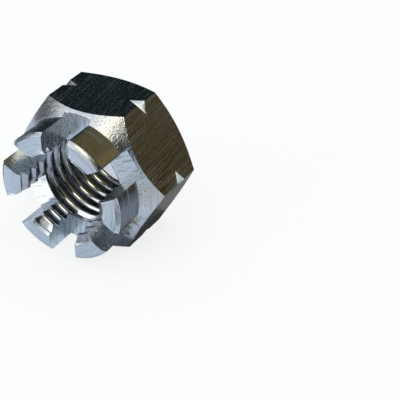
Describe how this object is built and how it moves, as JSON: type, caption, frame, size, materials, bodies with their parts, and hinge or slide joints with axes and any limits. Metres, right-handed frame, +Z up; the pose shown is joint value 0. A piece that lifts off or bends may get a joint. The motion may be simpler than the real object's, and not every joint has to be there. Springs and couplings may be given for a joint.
{
  "type": "castle nut",
  "caption": "Hexagon castle nut with a turned, slotted crown that a split pin passes through to lock it on its bolt.",
  "frame": {"origin": "under the middle of the nut, on the hexagon flat that it lies on", "axes": "+Z up; the thread axis is along Y at z 12 mm, the bearing face at +Y, the slotted crown at -Y; X across corners"},
  "size_m": [0.0278, 0.019, 0.024],
  "materials": {
    "plated_steel": "bright zinc-plated steel, machined"
  },
  "bodies": {
    "root": {"castle_nut": "plated_steel"}
  },
  "joints": []
}
